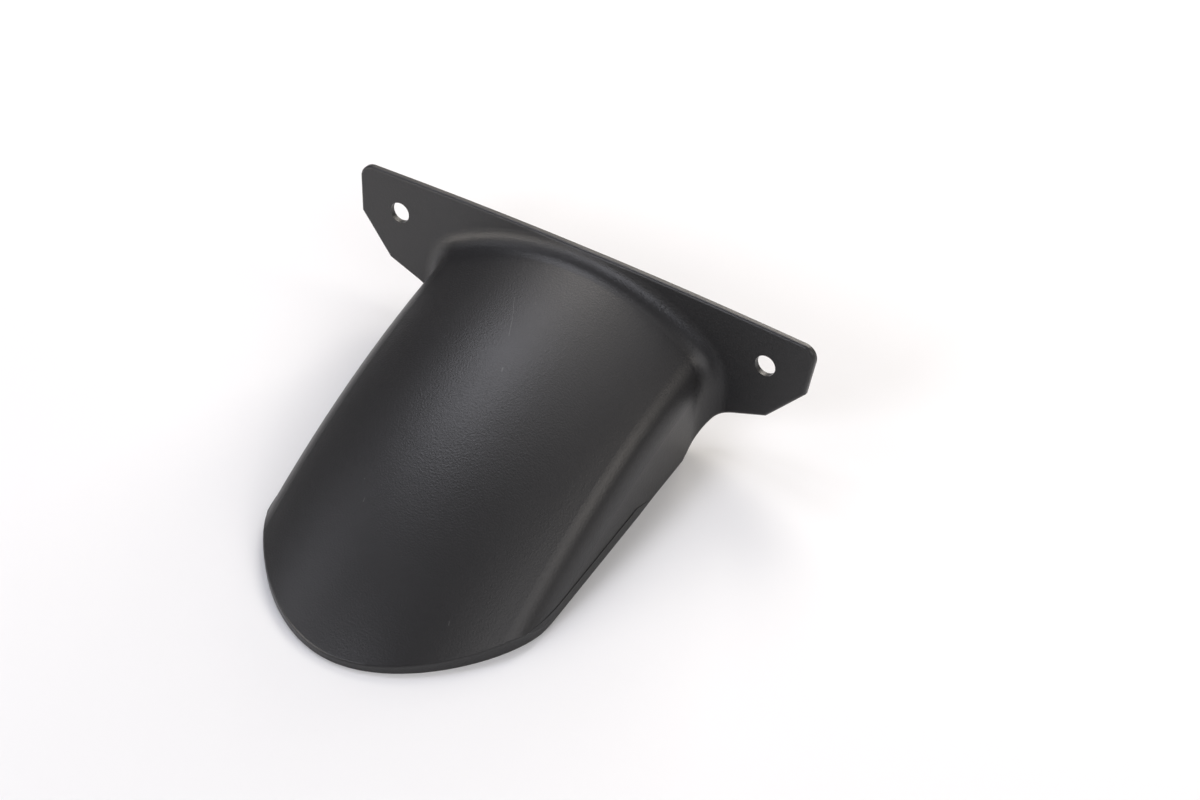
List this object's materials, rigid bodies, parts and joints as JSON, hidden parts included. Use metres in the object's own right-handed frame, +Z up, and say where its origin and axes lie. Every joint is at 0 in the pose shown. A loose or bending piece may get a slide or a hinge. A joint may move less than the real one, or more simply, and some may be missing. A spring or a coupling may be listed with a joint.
{
  "type": "rear hugger mudguard",
  "caption": "Arched hugger mudguard for a motorbike's rear tyre, with a rounded nose and an upright plate whose ears carry the fixing holes.",
  "frame": {"origin": "under the middle of the bounding box, on the level plane that the hood's rim rests on", "axes": "+Z up, X across the wheel along the line of the fixing holes, -Y towards the rounded nose, +Y towards the plate and the open mouth"},
  "size_m": [0.1656, 0.1454, 0.0483],
  "materials": {
    "black_plastic": "matt, with a very fine moulded grain"
  },
  "bodies": {
    "root": {"hugger_mudguard": "black_plastic"}
  },
  "joints": []
}
